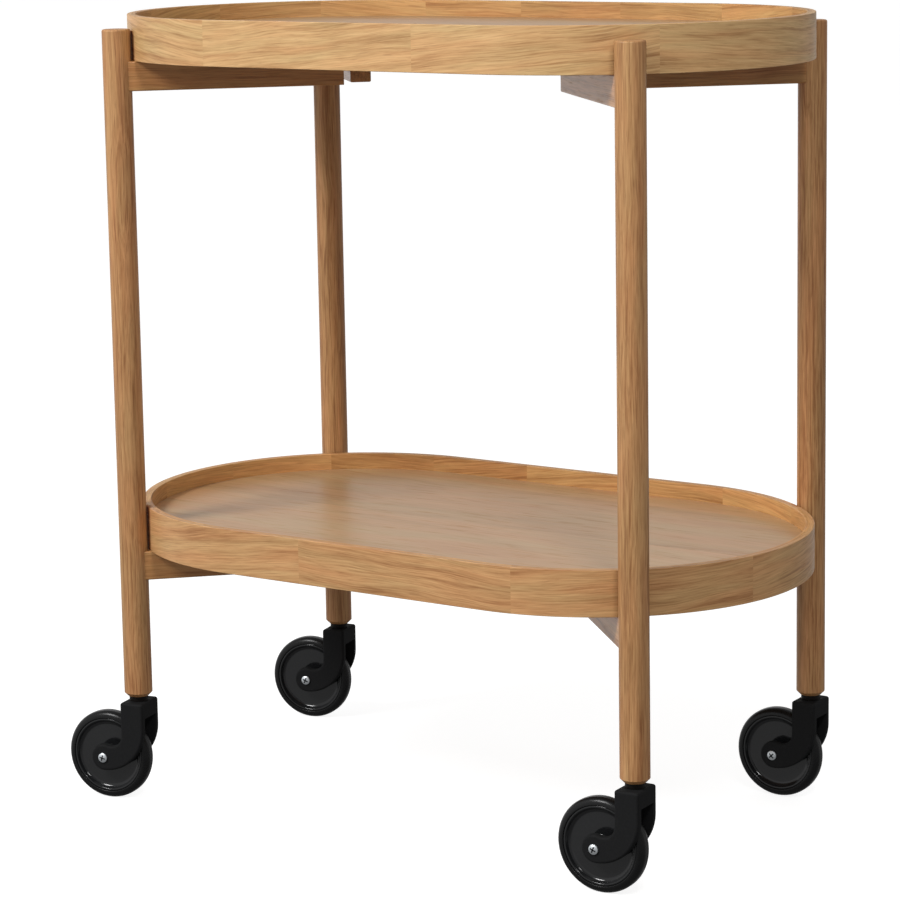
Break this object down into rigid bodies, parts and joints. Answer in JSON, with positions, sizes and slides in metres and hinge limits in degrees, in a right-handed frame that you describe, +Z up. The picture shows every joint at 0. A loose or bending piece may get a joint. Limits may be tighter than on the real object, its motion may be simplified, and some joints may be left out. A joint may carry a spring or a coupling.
{
  "type": "serving trolley",
  "caption": "Oval serving trolley: upper and lower oak trays with raised rims, round legs at the corners, swivelling casters with black wheels.",
  "frame": {"origin": "on the floor under the middle of the whole trolley's box", "axes": "+Z up, +X along the trays' length, +Y towards the back; the picture is taken from -Y and +X"},
  "size_m": [0.6964, 0.4, 0.76],
  "materials": {
    "bent_oak": "satin lacquer",
    "oak_veneer": "matt lacquer",
    "solid_oak": "satin lacquer",
    "beech": "raw",
    "zinc_steel": "bright zinc",
    "black_steel": "satin",
    "moulded_black": "glossy moulding",
    "glossy_black": "glossy moulding",
    "tyre_black": "smooth satin",
    "bush_nylon": "natural"
  },
  "bodies": {
    "frame": {"upper_tray_rim": "bent_oak", "upper_tray_panel": "oak_veneer", "upper_front_left_rail": "solid_oak", "upper_rear_left_rail": "solid_oak", "upper_front_right_rail": "solid_oak", "upper_rear_right_rail": "solid_oak", "upper_rail_dowels": "beech", "upper_tray_screws": "zinc_steel", "lower_tray_rim": "bent_oak", "lower_tray_panel": "oak_veneer", "lower_front_left_rail": "solid_oak", "lower_rear_left_rail": "solid_oak", "lower_front_right_rail": "solid_oak", "lower_rear_right_rail": "solid_oak", "lower_rail_dowels": "beech", "lower_tray_screws": "zinc_steel", "front_left_leg": "solid_oak", "rear_left_leg": "solid_oak", "front_right_leg": "solid_oak", "rear_right_leg": "solid_oak", "leg_inserts": "zinc_steel", "front_left_caster_stem": "black_steel", "rear_left_caster_stem": "black_steel", "front_right_caster_stem": "black_steel", "rear_right_caster_stem": "black_steel"},
    "front_left_caster": {"front_left_fork": "moulded_black", "front_left_swivel_bush": "bush_nylon", "front_left_axle_sleeve": "zinc_steel", "front_left_axle_screws": "zinc_steel"},
    "front_left_wheel": {"front_left_wheel_hub": "glossy_black", "front_left_tyre": "tyre_black"},
    "rear_left_caster": {"rear_left_fork": "moulded_black", "rear_left_swivel_bush": "bush_nylon", "rear_left_axle_sleeve": "zinc_steel", "rear_left_axle_screws": "zinc_steel"},
    "rear_left_wheel": {"rear_left_wheel_hub": "glossy_black", "rear_left_tyre": "tyre_black"},
    "front_right_caster": {"front_right_fork": "moulded_black", "front_right_swivel_bush": "bush_nylon", "front_right_axle_sleeve": "zinc_steel", "front_right_axle_screws": "zinc_steel"},
    "front_right_wheel": {"front_right_wheel_hub": "glossy_black", "front_right_tyre": "tyre_black"},
    "rear_right_caster": {"rear_right_fork": "moulded_black", "rear_right_swivel_bush": "bush_nylon", "rear_right_axle_sleeve": "zinc_steel", "rear_right_axle_screws": "zinc_steel"},
    "rear_right_wheel": {"rear_right_wheel_hub": "glossy_black", "rear_right_tyre": "tyre_black"}
  },
  "joints": [
    {"name": "front_left_swivel", "type": "hinge", "parent": "frame", "child": "front_left_caster", "pos_m": [-0.27368, -0.16599, 0.1], "axis": [0, 0, 1], "continuous": true},
    {"name": "front_left_roll", "type": "hinge", "parent": "front_left_caster", "child": "front_left_wheel", "pos_m": [-0.30504, -0.17237, 0.0435], "axis": [-0.1994, 0.9799, 0], "continuous": true},
    {"name": "rear_left_swivel", "type": "hinge", "parent": "frame", "child": "rear_left_caster", "pos_m": [-0.27368, 0.16599, 0.1], "axis": [0, 0, 1], "continuous": true},
    {"name": "rear_left_roll", "type": "hinge", "parent": "rear_left_caster", "child": "rear_left_wheel", "pos_m": [-0.30498, 0.15934, 0.0435], "axis": [-0.2079, 0.9781, 0], "continuous": true},
    {"name": "front_right_swivel", "type": "hinge", "parent": "frame", "child": "front_right_caster", "pos_m": [0.28404, -0.16599, 0.1], "axis": [0, 0, 1], "continuous": true},
    {"name": "front_right_roll", "type": "hinge", "parent": "front_right_caster", "child": "front_right_wheel", "pos_m": [0.25207, -0.16739, 0.0435], "axis": [-0.0436, 0.999, 0], "continuous": true},
    {"name": "rear_right_swivel", "type": "hinge", "parent": "frame", "child": "rear_right_caster", "pos_m": [0.28404, 0.16599, 0.1], "axis": [0, 0, 1], "continuous": true},
    {"name": "rear_right_roll", "type": "hinge", "parent": "rear_right_caster", "child": "rear_right_wheel", "pos_m": [0.25205, 0.16515, 0.0435], "axis": [-0.0262, 0.9997, 0], "continuous": true}
  ]
}
